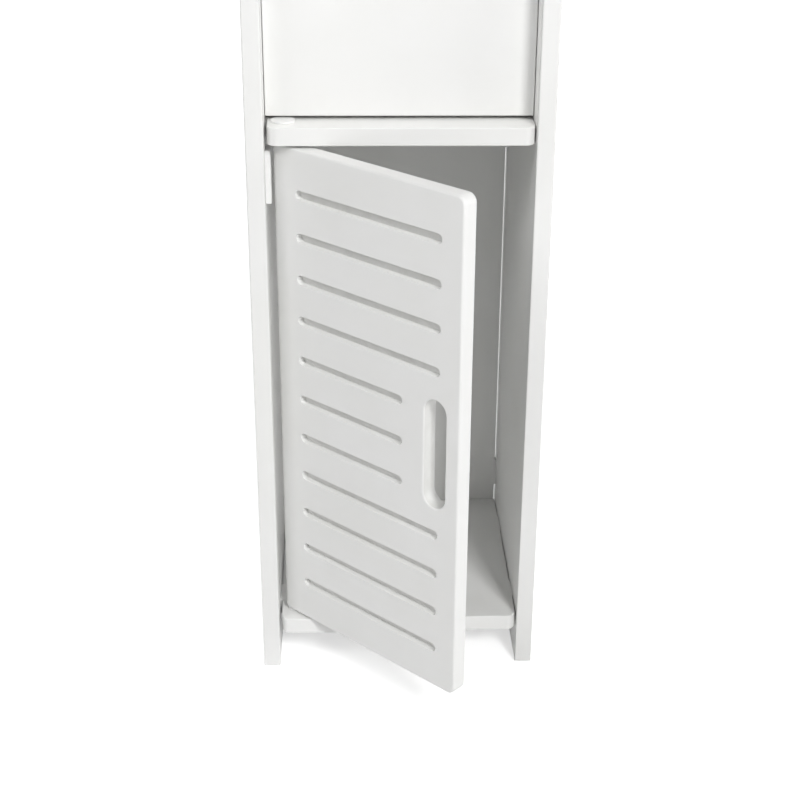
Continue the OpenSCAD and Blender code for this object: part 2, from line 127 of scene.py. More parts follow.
def vector(tree: Tree, **parts: Any) -> Socket:
    """Joins numbers or sockets to a vector, in which an axis that isn't given is 0."""
    return add_node(tree, "ShaderNodeCombineXYZ", inputs=parts).outputs[0]


def length(tree: Tree, spot: Socket) -> Socket:
    """Adds a vector's length."""
    return add_node(tree, "ShaderNodeVectorMath", {"operation": "LENGTH"}, {0: spot}).outputs["Value"]


def two_tone(tree: Tree, share: Socket, first: Sequence[float], second: Sequence[float]) -> Socket:
    """Mixes two linear colours by the second one's share."""
    return add_node(tree, "ShaderNodeMix", {"data_type": "RGBA"}, {0: share, 6: first, 7: second}).outputs[2]


def emptied(owner: Material | bpy.types.World) -> Tree:
    """Gives a material or a world an empty node tree.

    Args:
        owner: The material or world.

    Returns:
        Its node tree.
    """
    owner.use_nodes = True
    owner.node_tree.nodes.clear()
    return owner.node_tree


# ---- finishes


@dataclass(frozen=True)
class Grain:
    """Noise on Object coordinates: its features' width in millimetres, its detail, and what it runs between."""

    width: float
    detail: float
    low: float = 0.0
    high: float = 1.0


@dataclass(frozen=True)
class Coat:
    """A finish: a colour that drifts to a shade, a roughness and layers of relief, each from its own noise.

    A layer of relief is as deep as its high number says, in millimetres. Stretch below 1 draws the
    noise out along Y.
    """

    slot: str
    name: str
    colour: str
    shade: str
    drift: Grain
    roughness: Grain | float
    relief: Sequence[Grain]
    ior: float = 1.5
    metallic: float = 0.0
    stretch: float = 1.0

    def noise(self, tree: Tree, grain: Grain) -> Socket:
        """Adds a grain's noise on Object coordinates.

        Args:
            tree: The material's node tree.
            grain: The noise's sizes.

        Returns:
            The noise's value, around 0.5.
        """
        place = add_node(tree, "ShaderNodeTexCoord").outputs["Object"]
        drawn = add_node(tree, "ShaderNodeMapping", inputs={"Vector": place, "Scale": (1.0, self.stretch, 1.0)})
        scale = 1.0 / (grain.width * MM)
        inputs = {"Vector": drawn.outputs[0], "Scale": scale, "Detail": grain.detail}
        return add_node(tree, "ShaderNodeTexNoise", inputs=inputs).outputs[0]

    def spread(self, tree: Tree, grain: Grain) -> Socket:
        """Adds a grain's noise, spread between its low and its high number."""
        ends = {"From Min": 0.3, "From Max": 0.7, "To Min": grain.low, "To Max": grain.high}
        return add_node(tree, "ShaderNodeMapRange", inputs={"Value": self.noise(tree, grain), **ends}).outputs[0]

    @cache
    def material(self) -> Material:
        """Builds the finish's material on the first call and hands out the same one after it."""
        material = bpy.data.materials.new(self.name)
        tree = emptied(material)
        tone = two_tone(tree, self.spread(tree, self.drift), linear(self.colour), linear(self.shade))
        inputs: dict[str, Any] = {"Base Color": tone, "IOR": self.ior, "Metallic": self.metallic}
        even = isinstance(self.roughness, float)
        inputs["Roughness"] = self.roughness if even else self.spread(tree, self.roughness)
        normal: dict[str, Socket] = {}
        for layer in self.relief:
            height = {"Height": self.noise(tree, layer), "Strength": 1.0, "Distance": layer.high * MM}
            normal = {"Normal": add_node(tree, "ShaderNodeBump", inputs={**height, **normal}).outputs["Normal"]}
        shader = add_node(tree, "ShaderNodeBsdfPrincipled", inputs={**inputs, **normal})
        add_node(tree, "ShaderNodeOutputMaterial", inputs={"Surface": shader.outputs[0]})
        return material


class Finish(Enum):
    """The finishes on the cabinet, each with the record's slot that it stands for."""

    # Satin lacquer sprayed on fibreboard. Its orange peel and the board's long waves only show in the sheen.
    LACQUER = Coat(
        "white_board", "white satin lacquer on fibreboard", "#F1F1F0", "#EEEEEC", Grain(70.0, 3.0),
        Grain(28.0, 3.0, 0.40, 0.50), (Grain(45.0, 1.0, high=0.06), Grain(2.2, 1.0, high=0.010)), ior=1.47,
    )
    # The same lacquer on routed fibreboard: duller in sheen, because cut fibres drink the first coat, and darker in
    # colour as painted shade for groove floors and hole walls.
    ROUTED_SHADE = Coat(
        "white_board", "routed lacquer darkened as painted shade", "#E6E6E4", "#DDDDDA", Grain(9.0, 3.0, high=0.8),
        Grain(1.4, 3.0, 0.52, 0.68), (Grain(1.4, 3.0, high=0.03),), ior=1.47,
    )
    # A spark-eroded mould's grain is about 0.1 mm: drawn at 0.6 mm or more, as coarse as it needs to show.
    PLASTIC = Coat(
        "white_plastic", "white moulded nylon", "#F5F5F4", "#F0F0EF", Grain(12.0, 2.0),
        Grain(0.6, 1.0, 0.37, 0.48), (Grain(0.6, 1.0, high=0.006),), ior=1.46,
    )
    GLIDE = Coat(
        "glide_plastic", "light grey polyethylene", "#D2D2CF", "#C8C8C4", Grain(12.0, 2.0),
        Grain(0.9, 1.0, 0.45, 0.56), (Grain(0.9, 1.0, high=0.006),), ior=1.46,
    )
    # A cool grey mirror, clouded where the plating is uneven.
    ZINC = Coat(
        "zinc_steel", "bright zinc plate on steel", "#C3C6C9", "#A9ADB1", Grain(3.0, 4.0),
        Grain(3.0, 4.0, 0.24, 0.42), (Grain(0.8, 2.0, high=0.01),), metallic=1.0,
    )
    # A dull charcoal ceramic with fine pores.
    FERRITE = Coat(
        "ferrite_magnet", "ground ferrite", "#38383A", "#262628", Grain(0.5, 4.0),
        Grain(0.5, 4.0, 0.5, 0.75), (Grain(0.5, 4.0, high=0.02),),
    )
    # Short darker flecks, eight times as long as wide, along the dowels, which lie along Y.
    BEECH = Coat(
        "beech_dowel", "raw beech", "#D8BE96", "#B9935F", Grain(0.7, 4.0),
        0.62, (Grain(0.7, 4.0, high=0.03),), stretch=0.125,
    )

    @property
    def slot(self) -> str:
        """The record's material slot."""
        return self.value.slot


# A board's second slot darkens its routed faces: painted shade in its grooves, recesses and holes.
PAINTED = (Finish.LACQUER, Finish.ROUTED_SHADE)


def direct_view(tree: Tree) -> Socket:
    """Adds a switch that is 1 to the camera and to reflections, and 0 to the light that a surface gathers.

    Args:
        tree: The node tree of the world or of the floor.

    Returns:
        The switch.
    """
    rays = add_node(tree, "ShaderNodeLightPath").outputs
    eye = maths(tree, "MAXIMUM", rays["Is Camera Ray"], rays["Is Transmission Ray"])
    return maths(tree, "MAXIMUM", eye, rays["Is Glossy Ray"])


@dataclass(frozen=True)
class StudioPaper:
    """Seamless paper: white to the camera, with the object's shadow, and dimmer to the light it throws back.

    The eye-only lift grows from the cabinet outwards, because the lamps don't reach the far paper.
    """

    name: str = "seamless studio paper"
    seen: float = 0.9
    glow: float = 0.5
    near_m: float = 0.9
    far_m: float = 2.6
    thrown: float = 0.8

    def material(self) -> Material:
        """Builds the finish's material."""
        material = bpy.data.materials.new(self.name)
        tree = emptied(material)
        shown = direct_view(tree)
        tone = two_tone(tree, shown, (self.thrown,) * 3 + (1.0,), (self.seen,) * 3 + (1.0,))
        paper = add_node(tree, "ShaderNodeBsdfDiffuse", inputs={"Color": tone})
        # A lift that only the eye gets takes lit paper to white and leaves the shadow on it.
        reach = length(tree, add_node(tree, "ShaderNodeTexCoord").outputs["Object"])
        ends = {0: reach, 1: self.near_m, 2: self.far_m, 3: self.glow, 4: 1.0}
        grown = add_node(tree, "ShaderNodeMapRange", {"interpolation_type": "SMOOTHSTEP"}, ends).outputs[0]
        light = add_node(tree, "ShaderNodeEmission", inputs={"Strength": maths(tree, "MULTIPLY", shown, grown)})
        shader = add_node(tree, "ShaderNodeAddShader", inputs={0: paper.outputs[0], 1: light.outputs[0]})
        add_node(tree, "ShaderNodeOutputMaterial", inputs={"Surface": shader.outputs[0]})
        return material


# ---- outlines and shells


@dataclass(frozen=True)
class RimPoint:
    """A point of a board's outline, with the rounding of its edge on either face."""

    x: float
    y: float
    front: float
    rear: float


def even_rim(outline: Iterable[Point], front: float, rear: float | None = None) -> list[RimPoint]:
    """Gives each point of an outline the same rounding."""
    return [RimPoint(x, y, front, front if rear is None else rear) for x, y in outline]


def arc(centre: Point, radius: float, start: float, end: float, steps: int) -> list[Point]:
    """Lays points along an arc, from one angle in degrees to another, both ends included."""
    angles = [math.radians(start + (end - start) * i / steps) for i in range(steps + 1)]
    return [(centre[0] + radius * math.cos(a), centre[1] + radius * math.sin(a)) for a in angles]


def disc(centre: Point, radius: float, sides: int = 28) -> list[Point]:
    """Outlines a round hole."""
    return arc(centre, radius, 0, 360 * (1 - 1 / sides), sides - 1)


def boxed(x0: float, y0: float, x1: float, y1: float) -> list[Point]:
    """Outlines a rectangle with square corners."""
    return [(x0, y0), (x1, y0), (x1, y1), (x0, y1)]


def rounded_box(x0: float, y0: float, x1: float, y1: float, radius: float, steps: int = 6) -> list[Point]:
    """Outlines a rectangle with round corners, counter-clockwise from its lower right one."""
    last, *others = boxed(x0 + radius, y0 + radius, x1 - radius, y1 - radius)
    return [p for k, spot in enumerate([*others, last]) for p in arc(spot, radius, 90 * k - 90, 90 * k, steps)]


def tab(root: float, tip: float, middle: float, width: float) -> list[Point]:
    """Outlines a tab on a board's right end, from its lower root over its tip to its upper root."""
    half = width / 2
    return [(root, middle - half), (tip, middle - half), (tip, middle + half), (root, middle + half)]


def offset(points: Sequence[Point], distances: Sequence[float]) -> list[Point]:
    """Moves an outline's points outwards, or inwards where the distance is negative.

    Args:
        points: A closed outline, counter-clockwise.
        distances: How far each point goes.

    Returns:
        The moved outline.
    """
    moved = []
    for i, (x, y) in enumerate(points):
        before, after = points[i - 1], points[(i + 1) % len(points)]
        first = Vector((y - before[1], before[0] - x)).normalized()
        second = Vector((after[1] - y, x - after[0])).normalized()
        mitre = (first + second) / (1.0 + first.dot(second))
        moved.append((x + mitre.x * distances[i], y + mitre.y * distances[i]))
    return moved


def quarter(steps: int) -> list[Point]:
    """Returns a rounded edge's inset and depth, as shares of its radius, from the flat face to the side."""
    turns = [math.pi / 2 * k / steps for k in range(steps + 1)]
    return [(1 - math.sin(turn), 1 - math.cos(turn)) for turn in turns]


class Face(Enum):
    """The two faces of a board."""

    FRONT = 1
    REAR = -1


@dataclass(frozen=True)
class Cut:
    """A recess in either face of a board, with a fillet round its floor, or a hole where the depth is None.

    A hole starts at the front face and goes right through.
    """

    outline: Sequence[Point]
    depth: float | None = None
    face: Face = Face.FRONT
    lip: float = 0.3
    fillet: float = 0.4


@dataclass(frozen=True)
class Place:
    """Where a flat outline stands: its zero, its two directions, and the way from front to rear face."""

    zero: Vector
    right: Vector
    up: Vector
    inwards: Vector

    def at(self, x: float, y: float, depth: float) -> Vector:
        """Returns a point in metres, from millimetres across, up and deep."""
        return (self.zero + self.right * x + self.up * y + self.inwards * depth) * MM


def upright(y: float) -> Place:
    """Returns the place of a face at y that looks to the front, with depth towards the back."""
    return Place(BACK * y, RIGHT, UP, BACK)


def level(z: float) -> Place:
    """Returns the place of a face at z that looks up, with depth downwards."""
    return Place(UP * z, RIGHT, BACK, DOWN)


@dataclass
class Board:
    """A flat board with rounded edges and cuts, built as one closed shell."""

    name: str
    place: Place
    thickness: float
    rim: Sequence[RimPoint]
    cuts: Sequence[Cut] = ()
    steps: int = 5
    shell: bmesh.types.BMesh = field(default_factory=bmesh.new)

    def ring(self, points: Sequence[Point], depths: Sequence[float], face: Face = Face.FRONT) -> Row:
        """Adds one closed row of vertices, whose depths are counted from a face."""
        depths = depths if face is Face.FRONT else [self.thickness - d for d in depths]
        return [self.shell.verts.new(self.place.at(x, y, d)) for (x, y), d in zip(points, depths)]

    def strip(self, first: Row, second: Row, routed: bool) -> None:
        """Joins two rows with a strip of faces.

        Args:
            first: The first row.
            second: The second row.
            routed: Whether the faces are routed, which gives them the darker finish that paints shade.
        """
        for i in range(len(first)):
            j = (i + 1) % len(first)
            quad = self.shell.faces.new((first[i], first[j], second[j], second[i]))
            quad.material_index = int(routed)

    def rim_rows(self, face: Face) -> list[Row]:
        """Adds the rounded edge of one face, from the flat face to the board's side.

        Args:
            face: The face whose edge it is.

        Returns:
            The rows of vertices.
        """
        flat = [(p.x, p.y) for p in self.rim]
        radii = [p.front if face is Face.FRONT else p.rear for p in self.rim]
        return [
            self.ring(offset(flat, [-r * inset for r in radii]), [r * depth for r in radii], face)
            for inset, depth in quarter(self.steps)
        ]

    def cut_rows(self, cut: Cut) -> list[Row]:
        """Adds a cut's wall, from its own face inwards: a rounded lip, then a fillet or the lip behind.

        Args:
            cut: The recess or hole.

        Returns:
            The rows of vertices.
        """
        lip = [(cut.lip * out, cut.lip * deep) for out, deep in quarter(LIP_STEPS)]
        if cut.depth is None:
            inner = [(out, self.thickness - deep) for out, deep in reversed(lip)]
        else:
            inner = [(-cut.fillet * deep, cut.depth - cut.fillet * out) for out, deep in quarter(LIP_STEPS)]
        count = len(cut.outline)
        return [self.ring(offset(cut.outline, [out] * count), [deep] * count, cut.face) for out, deep in lip + inner]

    def plug(self, cut: Cut) -> Piece:
        """Builds a hole as a shell of its own, which a Boolean then takes out of another shell.

        Args:
            cut: The hole, which goes right through the board.

        Returns:
            The cutter.
        """
        rows = self.cut_rows(cut)
        wide = offset(cut.outline, [cut.lip] * len(cut.outline))
        first, last = (self.ring(wide, [depth] * len(wide)) for depth in (-1.0, self.thickness + 1.0))
        rows = [first, *rows, last]
        # Every face takes the darker routed finish, which paints shade on the walls that the cutter leaves.
        for one, two in zip(rows, rows[1:]):
            self.strip(one, two, True)
        self.flat_face([first], True)
        self.flat_face([last], True)
        return shell_object(self.name, self.shell)

    def flat_face(self, loops: Sequence[Row], routed: bool = False) -> None:
        """Fills a flat face between its outline and its holes.

        Args:
            loops: The outline's row, then the rows of the holes.
            routed: Whether the face is routed, which gives it the darker finish that paints shade.
        """
        right, up = self.place.right, self.place.up
        away = [[vert.co / MM - self.place.zero for vert in loop] for loop in loops]
        flat = [[Vector((spot.dot(right), spot.dot(up), 0.0)) for spot in loop] for loop in away]
        verts = [vert for loop in loops for vert in loop]
        for triangle in tessellate_polygon(flat):
            new = self.shell.faces.new([verts[i] for i in triangle])
            new.material_index = int(routed)

    def build(self) -> Piece:
        """Builds the board as a mesh object at the origin."""
        front, rear = self.rim_rows(Face.FRONT), self.rim_rows(Face.REAR)
        rows = front + rear[::-1]
        for first, second in zip(rows, rows[1:]):
            self.strip(first, second, False)
        loops = {Face.FRONT: [front[0]], Face.REAR: [rear[0]]}
        for cut in self.cuts:
            rows, through = self.cut_rows(cut), cut.depth is None
            # The lips and a recess's wall keep the lacquer. A recess's fillet and floor and a hole's wall take the
            # darker routed finish, which is painted shade in the hollows.
            for k, (first, second) in enumerate(zip(rows, rows[1:])):
                self.strip(first, second, k == LIP_STEPS if through else k > LIP_STEPS)
            loops[cut.face].append(rows[0])
            if through:
                loops[Face.REAR].append(rows[-1])
            else:
                self.flat_face([rows[-1]], True)
        for face_loops in loops.values():
            self.flat_face(face_loops)
        return shell_object(self.name, self.shell)


def shell_object(name: str, shell: bmesh.types.BMesh) -> Piece:
    """Closes a shell's seams, turns its faces outwards and makes it an object.

    Args:
        name: The object's name.
        shell: The shell, which is used up.

    Returns:
        The new object, linked to the scene.
    """
    bmesh.ops.remove_doubles(shell, verts=shell.verts, dist=0.0005 * MM)
    bmesh.ops.dissolve_degenerate(shell, edges=shell.edges, dist=0.0002 * MM)
    bmesh.ops.recalc_face_normals(shell, faces=shell.faces)
    open_edges = [e for e in shell.edges if len(e.link_faces) != 2]
    if open_edges:
        LOG.warning("%s has %d open edges", name, len(open_edges))
    mesh = bpy.data.meshes.new(name)
    shell.to_mesh(mesh)
    shell.free()
    return linked(name, mesh)


def linked(name: str, data: bpy.types.ID) -> Piece:
    """Makes an object and links it to the scene.

    Args:
        name: The object's name.
        data: Its mesh, lamp or camera.

    Returns:
        The object.
    """
    made = bpy.data.objects.new(name, data)
    bpy.context.scene.collection.objects.link(made)
    return made


def joined(name: str, parts: Sequence[Piece]) -> Piece:
    """Joins separate shells into one object.

    Args:
        name: The object's name.
        parts: The shells' objects, which are used up.

    Returns:
        The joined object.
    """
    shell = bmesh.new()
    for part in parts:
        shell.from_mesh(part.data)
        bpy.data.objects.remove(part)
    return shell_object(name, shell)


def shaded(piece: Piece) -> Piece:
    """Shades a piece smooth, keeps its sharp edges and lets its flat faces stay flat.

    Args:
        piece: The mesh object.

    Returns:
        The same object.
    """
    shell = bmesh.new()
    shell.from_mesh(piece.data)
    for new in shell.faces:
        new.smooth = True
    for edge in shell.edges:
        edge.smooth = len(edge.link_faces) == 2 and edge.calc_face_angle(0.0) < CREASE
    shell.to_mesh(piece.data)
    shell.free()
    weigher = piece.modifiers.new("even flat faces", "WEIGHTED_NORMAL")
    weigher.keep_sharp = True
    weigher.weight = FLAT_WEIGHT
    return piece


def settled(piece: Piece) -> Piece:
    """Turns a piece's modifiers into its plain mesh.

    Args:
        piece: The object, with modifiers.

    Returns:
        The same object, with none.
    """
    bpy.context.view_layer.update()
    graph = bpy.context.evaluated_depsgraph_get()
    mesh = bpy.data.meshes.new_from_object(piece.evaluated_get(graph), preserve_all_data_layers=True, depsgraph=graph)
    piece.modifiers.clear()
    piece.data = mesh
    return piece


def drilled(piece: Piece, cutters: Iterable[Piece]) -> Piece:
    """Cuts other shells out of a piece.

    Args:
        piece: The piece that is cut.
        cutters: The shells, which are used up.

    Returns:
        The same object.
    """
    for cutter in cutters:
        change = piece.modifiers.new("drill", "BOOLEAN")
        change.operation = "DIFFERENCE"
        change.solver = "EXACT"
        change.object = cutter
        settled(piece)
        bpy.data.objects.remove(cutter)
    return piece


def turned(name: str, profile: Sequence[Point], foot: Vector, axis: Vector, sides: int = 48) -> Piece:
    """Turns a closed profile round an axis.

    Args:
        name: The object's name.
        profile: Points of radius and height, both in millimetres. A radius of 0 lies on the axis.
        foot: The axis point at height 0, in millimetres.
        axis: The direction of height.
        sides: How many sides the turned shape has.

    Returns:
        The new object.
    """
    turn = axis.normalized().to_track_quat("Z", "Y")
    shell = bmesh.new()
    rows = []
    for radius, height in profile:
        spots = [(0.0, 0.0)] if radius == 0 else disc((0.0, 0.0), radius, sides)
        rows.append([shell.verts.new((foot + turn @ Vector((x, y, height))) * MM) for x, y in spots])
    closed = profile[0][0] != 0
    for first, second in list(zip(rows, rows[1:])) + ([(rows[-1], rows[0])] if closed else []):
        if len(first) == 1 and len(second) == 1:
            continue
        for i in range(sides):
            j = (i + 1) % sides
            corners = [first[i % len(first)], first[j % len(first)], second[j % len(second)], second[i % len(second)]]
            shell.faces.new(list(dict.fromkeys(corners)))
    return shell_object(name, shell)


# ---- fasteners


def shifted(tree: Tree, geometry: Socket, height: Socket) -> Socket:
    """Adds a move of a geometry along Z."""
    inputs = {"Geometry": geometry, "Translation": vector(tree, Z=height)}
    return add_node(tree, "GeometryNodeTransform", inputs=inputs).outputs[0]


def rod(tree: Tree, rounds: Mapping[str, int], radius: Socket, depth: Socket) -> Socket:
    """Adds a cylinder round Z, whose middle is at zero."""
    inputs = {**rounds, "Radius": radius, "Depth": depth}
    return add_node(tree, "GeometryNodeMeshCylinder", inputs=inputs).outputs[0]


@dataclass
class Fasteners:
    """Identical fasteners, made by one Geometry Nodes tree on a row of points. The defaults are a screw's."""

    name: str
    shank_length: float
    seed: int
    head_radius: float = HEAD_RADIUS
    head_height: float = HEAD_HEIGHT
    dome: float = 0.35
    dome_power: float = 2.5
    shank_radius: float = 1.5
    overlap: float = 0.3
    crossed: bool = True
    cross_length: float = 1.15
    cross_width: float = 0.28
    head_sides: int = 32
    head_rings: int = 5
    shank_sides: int = 24

    def sizes(self) -> dict[str, float]:
        """Returns the tree's named sizes, in metres."""
        sizes = {
            "Head radius": self.head_radius,
            "Head height": self.head_height,
            "Dome": self.dome,
            "Shank radius": self.shank_radius,
            "Shank length": self.shank_length,
            "Slot width": self.head_radius * self.cross_width,
        }
        return {label: size * MM for label, size in sizes.items()}

    def tree(self, material: Material) -> Tree:
        """Builds the tree that puts a fastener on each point.

        Args:
            material: The fasteners' material.

        Returns:
            The Geometry Nodes tree, with named inputs for its sizes.
        """
        tree = bpy.data.node_groups.new(self.name, "GeometryNodeTree")
        sockets = tree.interface
        sockets.new_socket("Points", in_out="INPUT", socket_type="NodeSocketGeometry")
        for label in self.sizes():
            sockets.new_socket(label, in_out="INPUT", socket_type="NodeSocketFloat")
        sockets.new_socket("Seed", in_out="INPUT", socket_type="NodeSocketInt")
        sockets.new_socket("Fasteners", in_out="OUTPUT", socket_type="NodeSocketGeometry")
        given = add_node(tree, "NodeGroupInput").outputs
        union = add_node(tree, "GeometryNodeMeshBoolean", {"operation": "UNION", "solver": "MANIFOLD"})
        for part in (self.head(tree, given), self.shank(tree, given)):
            tree.links.new(part, union.inputs["Mesh 2"])
        whole = union.outputs["Mesh"]
        if self.crossed:
            whole = self.recessed(tree, given, whole)
        facing = add_node(tree, "GeometryNodeInputNamedAttribute", {"data_type": "FLOAT_VECTOR"}, {"Name": "facing"})
        aimed = add_node(tree, "FunctionNodeAlignRotationToVector", {"axis": "Z"}, {"Vector": facing.outputs[0]})
        turns = {2: 0.0, 3: math.tau, "Seed": given["Seed"]}
        spin = add_node(tree, "FunctionNodeRandomValue", {"data_type": "FLOAT"}, turns)
        about = add_node(tree, "FunctionNodeAxisAngleToRotation", inputs={"Angle": spin.outputs[1]})
        both = {0: aimed.outputs[0], 1: about.outputs[0]}
        spun = add_node(tree, "FunctionNodeRotateRotation", {"rotation_space": "LOCAL"}, both)
        placing = {"Points": given["Points"], "Instance": whole, "Rotation": spun.outputs[0]}
        placed = add_node(tree, "GeometryNodeInstanceOnPoints", inputs=placing)
        real = add_node(tree, "GeometryNodeRealizeInstances", inputs={0: placed.outputs[0]})
        dressed = add_node(tree, "GeometryNodeSetMaterial", inputs={"Geometry": real.outputs[0], "Material": material})
        add_node(tree, "NodeGroupOutput", inputs={0: dressed.outputs[0]})
        return tree

    def head(self, tree: Tree, given: Mapping[str, Any]) -> Socket:
        """Adds the head, a disc whose top is domed.

        Args:
            tree: The fasteners' tree.
            given: Its named inputs.

        Returns:
            The head's mesh.
        """
        rounds = {"Vertices": self.head_sides, "Fill Segments": self.head_rings}
        plate = rod(tree, rounds, given["Head radius"], given["Head height"])
        half = maths(tree, "MULTIPLY", given["Head height"], 0.5)
        raised = shifted(tree, plate, half)
        spot = add_node(tree, "GeometryNodeInputPosition").outputs[0]
        x, y, z = add_node(tree, "ShaderNodeSeparateXYZ", inputs={0: spot}).outputs
        share = maths(tree, "DIVIDE", length(tree, vector(tree, X=x, Y=y)), given["Head radius"])
        drop = maths(tree, "MULTIPLY", maths(tree, "POWER", share, self.dome_power), given["Dome"])
        move = vector(tree, Z=maths(tree, "MULTIPLY", drop, -1.0))
        is_top = add_node(tree, "FunctionNodeCompare", {"operation": "GREATER_THAN"}, {0: z, 1: half})
        inputs = {"Geometry": raised, "Selection": is_top.outputs[0], "Offset": move}
        return add_node(tree, "GeometryNodeSetPosition", inputs=inputs).outputs[0]

    def shank(self, tree: Tree, given: Mapping[str, Any]) -> Socket:
        """Adds the shank, which reaches into the head so that the two become one.

        Args:
            tree: The fasteners' tree.
            given: Its named inputs.

        Returns:
            The shank's mesh.
        """
        bare = rod(tree, {"Vertices": self.shank_sides}, given["Shank radius"], given["Shank length"])
        half = maths(tree, "MULTIPLY", given["Shank length"], -0.5)
        return shifted(tree, bare, maths(tree, "ADD", half, self.overlap * MM))

    def recessed(self, tree: Tree, given: Mapping[str, Any], whole: Socket) -> Socket:
        """Cuts the cross recess into the head.

        Args:
            tree: The fasteners' tree.
            given: Its named inputs.
            whole: The head with its shank.

        Returns:
            The mesh with its recess.
        """
        narrow, high = given["Slot width"], given["Head height"]
        wide = maths(tree, "MULTIPLY", given["Head radius"], self.cross_length)
        change = {"operation": "DIFFERENCE", "solver": "MANIFOLD"}
        cutter = add_node(tree, "GeometryNodeMeshBoolean", change, {0: whole})
        for x, y in ((narrow, wide), (wide, narrow)):
            bar = add_node(tree, "GeometryNodeMeshCube", inputs={"Size": vector(tree, X=x, Y=y, Z=high)})
            tree.links.new(shifted(tree, bar.outputs[0], high), cutter.inputs["Mesh 2"])
        return cutter.outputs["Mesh"]

    def build(self, seats: Sequence[Seat], material: Material) -> Piece:
        """Puts a fastener on each seat.

        Args:
            seats: For each fastener, the point under its head in millimetres, and the way its head faces.
            material: The fasteners' material.

        Returns:
            One object that holds them all.
        """
        mesh = bpy.data.meshes.new(self.name)
        mesh.from_pydata([seat * MM for seat, _ in seats], [], [])
        facing = mesh.attributes.new("facing", "FLOAT_VECTOR", "POINT")
        for item, (_, way) in zip(facing.data, seats):
            item.vector = way
        piece = linked(self.name, mesh)
        maker = piece.modifiers.new("fasteners", "NODES")
        maker.node_group = self.tree(material)
        given = {**self.sizes(), "Seed": self.seed}
        for item in maker.node_group.interface.items_tree:
            if item.name in given:
                maker[item.identifier] = given[item.name]
        return settled(piece)


# ---- the cabinet's sub-assemblies


def corners(node: str) -> tuple[Vector, Vector]:
    """Returns a node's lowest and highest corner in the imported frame, in millimetres."""
    low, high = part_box(node)
    return low / MM, high / MM


def on_pivot(z: float) -> Vector:
    """Returns a point on the door's pivot axis, in millimetres."""
    x, y, _ = next(joint for joint in frame["joints"] if joint["name"] == "door_hinge")["pos_m"]
    return Vector((x / MM, y / MM, z))


def lying(name: str, node: str, rim: Sequence[RimPoint], cuts: Sequence[Cut] = ()) -> Piece:
    """Builds a level board as thick as its node, whose front face is its top."""
    low, high = corners(node)
    return Board(name, level(high.z), high.z - low.z, rim, cuts).build()


def standing(name: str, node: str, rim: Sequence[RimPoint], cuts: Sequence[Cut] = ()) -> Piece:
    """Builds an upright board as thick as its node, whose front face looks to the front."""
    low, high = corners(node)
    return Board(name, upright(low.y), high.y - low.y, rim, cuts).build()


def flank(name: str, node: str, rim: Sequence[RimPoint], cuts: Sequence[Cut]) -> Piece:
    """Builds a board at the left or the right, as thick as its node, whose front face is its outer one.

    Args:
        name: The piece's name.
        node: The CAD node that it stands for.
        rim: Its outline, as depth and height.
        cuts: Its recesses.

    Returns:
        The board.
    """
    low, high = corners(node)
    outer, side = (low.x, -1) if low.x < 0 else (high.x, 1)
    return Board(name, Place(RIGHT * outer, BACK, UP, RIGHT * -side), high.x - low.x, rim, cuts).build()


@dataclass
class SubAssembly:
    """A group of pieces that ride on one body."""

    body: str = ""

    def seat(self, piece: Piece, finishes: Sequence[Finish], *nodes: str) -> None:
        """Shades a piece, gives it its finishes, hides the nodes that it stands for and lets it ride.

        Args:
            piece: The finished mesh object.
            finishes: Its finishes, in the order of its material slots.
            nodes: The CAD nodes that it replaces.
        """
        mesh = shaded(piece).data
        # Clearing the slots would also set every face back to the first one.
        marks = [min(face.material_index, len(finishes) - 1) for face in mesh.polygons]
        mesh.materials.clear()
        for finish in finishes:
            mesh.materials.append(finish.value.material())
        mesh.polygons.foreach_set("material_index", marks)
        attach(piece, self.body)
        finishes[0].slot
        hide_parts(*nodes)
        LOG.info("%s: %d faces on %s", piece.name, len(mesh.polygons), self.body)

    def fasten(self, maker: Fasteners, seats: Sequence[Seat], finish: Finish, node: str) -> None:
        """Puts a set of fasteners on their seats, in place of a CAD node."""
        self.seat(maker.build(seats, finish.value.material()), [finish], node)

    def keep(self, node: str, finish: Finish) -> None:
        """Keeps a CAD node and gives it its finish.

        Args:
            node: The CAD node's name.
            finish: Its finish.
        """
        kept = frame["nodes"][node]
        kept.data.materials.clear()
        kept.data.materials.append(finish.value.material())
        finish.slot
        LOG.info("%s: kept, %s", node, finish.name.lower())


